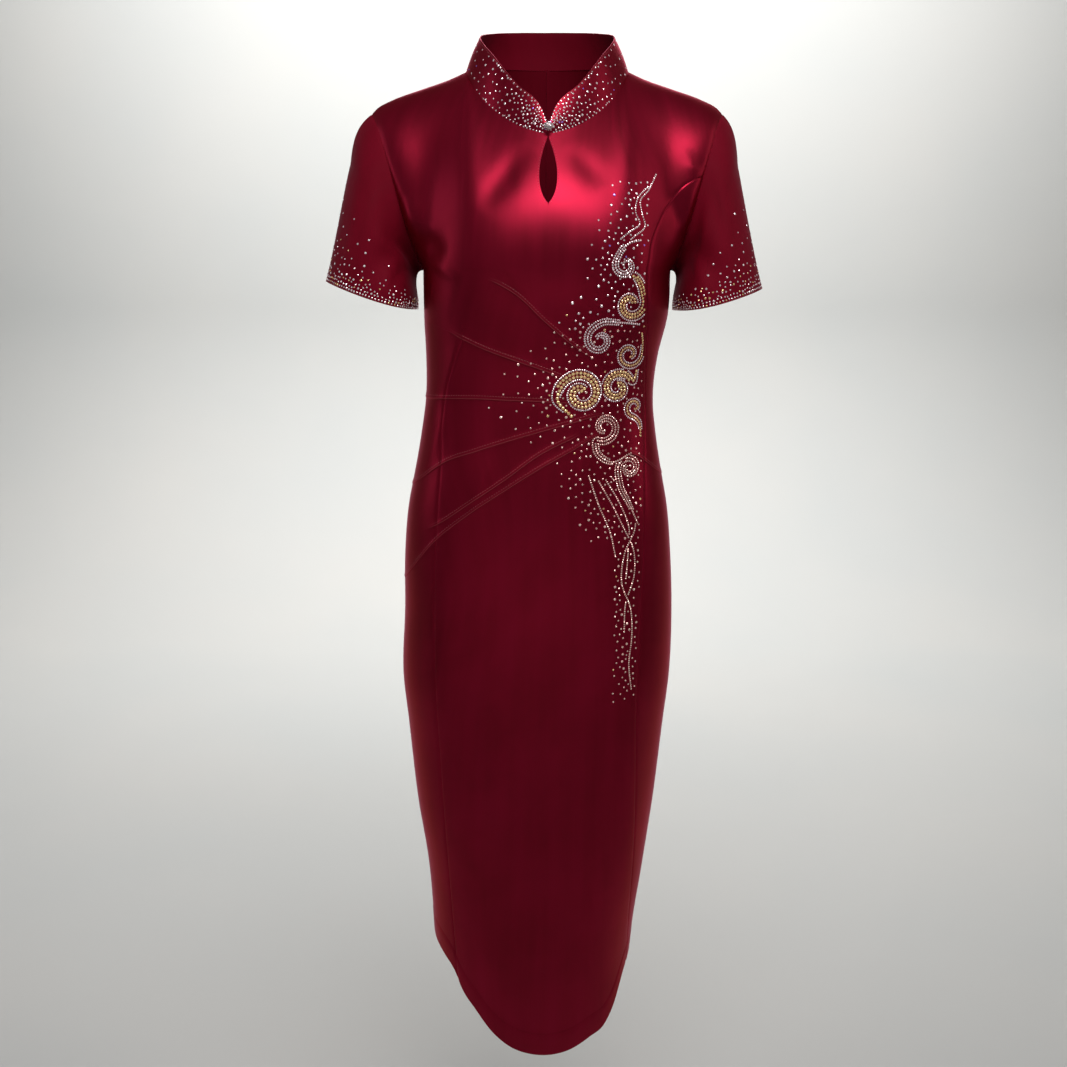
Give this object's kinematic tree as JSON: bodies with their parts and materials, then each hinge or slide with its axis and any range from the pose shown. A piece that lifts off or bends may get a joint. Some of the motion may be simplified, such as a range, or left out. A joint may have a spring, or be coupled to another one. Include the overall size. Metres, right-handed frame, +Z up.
{
  "type": "cheongsam dress",
  "caption": "Fitted satin cheongsam dress in its worn hollow form, with stand collar, keyhole neck, short sleeves, fanned tucks and a rounded hem.",
  "frame": {"origin": "centre of the neck's base, at the height of the shoulder seams' inner ends, where the wearer holds the dress", "axes": "+Z up along the wearer, +X to the wearer's left, +Y to the wearer's back"},
  "size_m": [0.4948, 0.2614, 1.2037],
  "materials": {
    "satin": "wine-red satin crepe, soft sheen",
    "stones": "clear, rose and champagne rhinestones, faceted"
  },
  "bodies": {
    "root": {"front_panel": "satin", "side_front_left": "satin", "side_front_right": "satin", "back_left": "satin", "back_right": "satin", "sleeve_left": "satin", "sleeve_right": "satin", "collar": "satin", "button": "stones"}
  },
  "joints": []
}
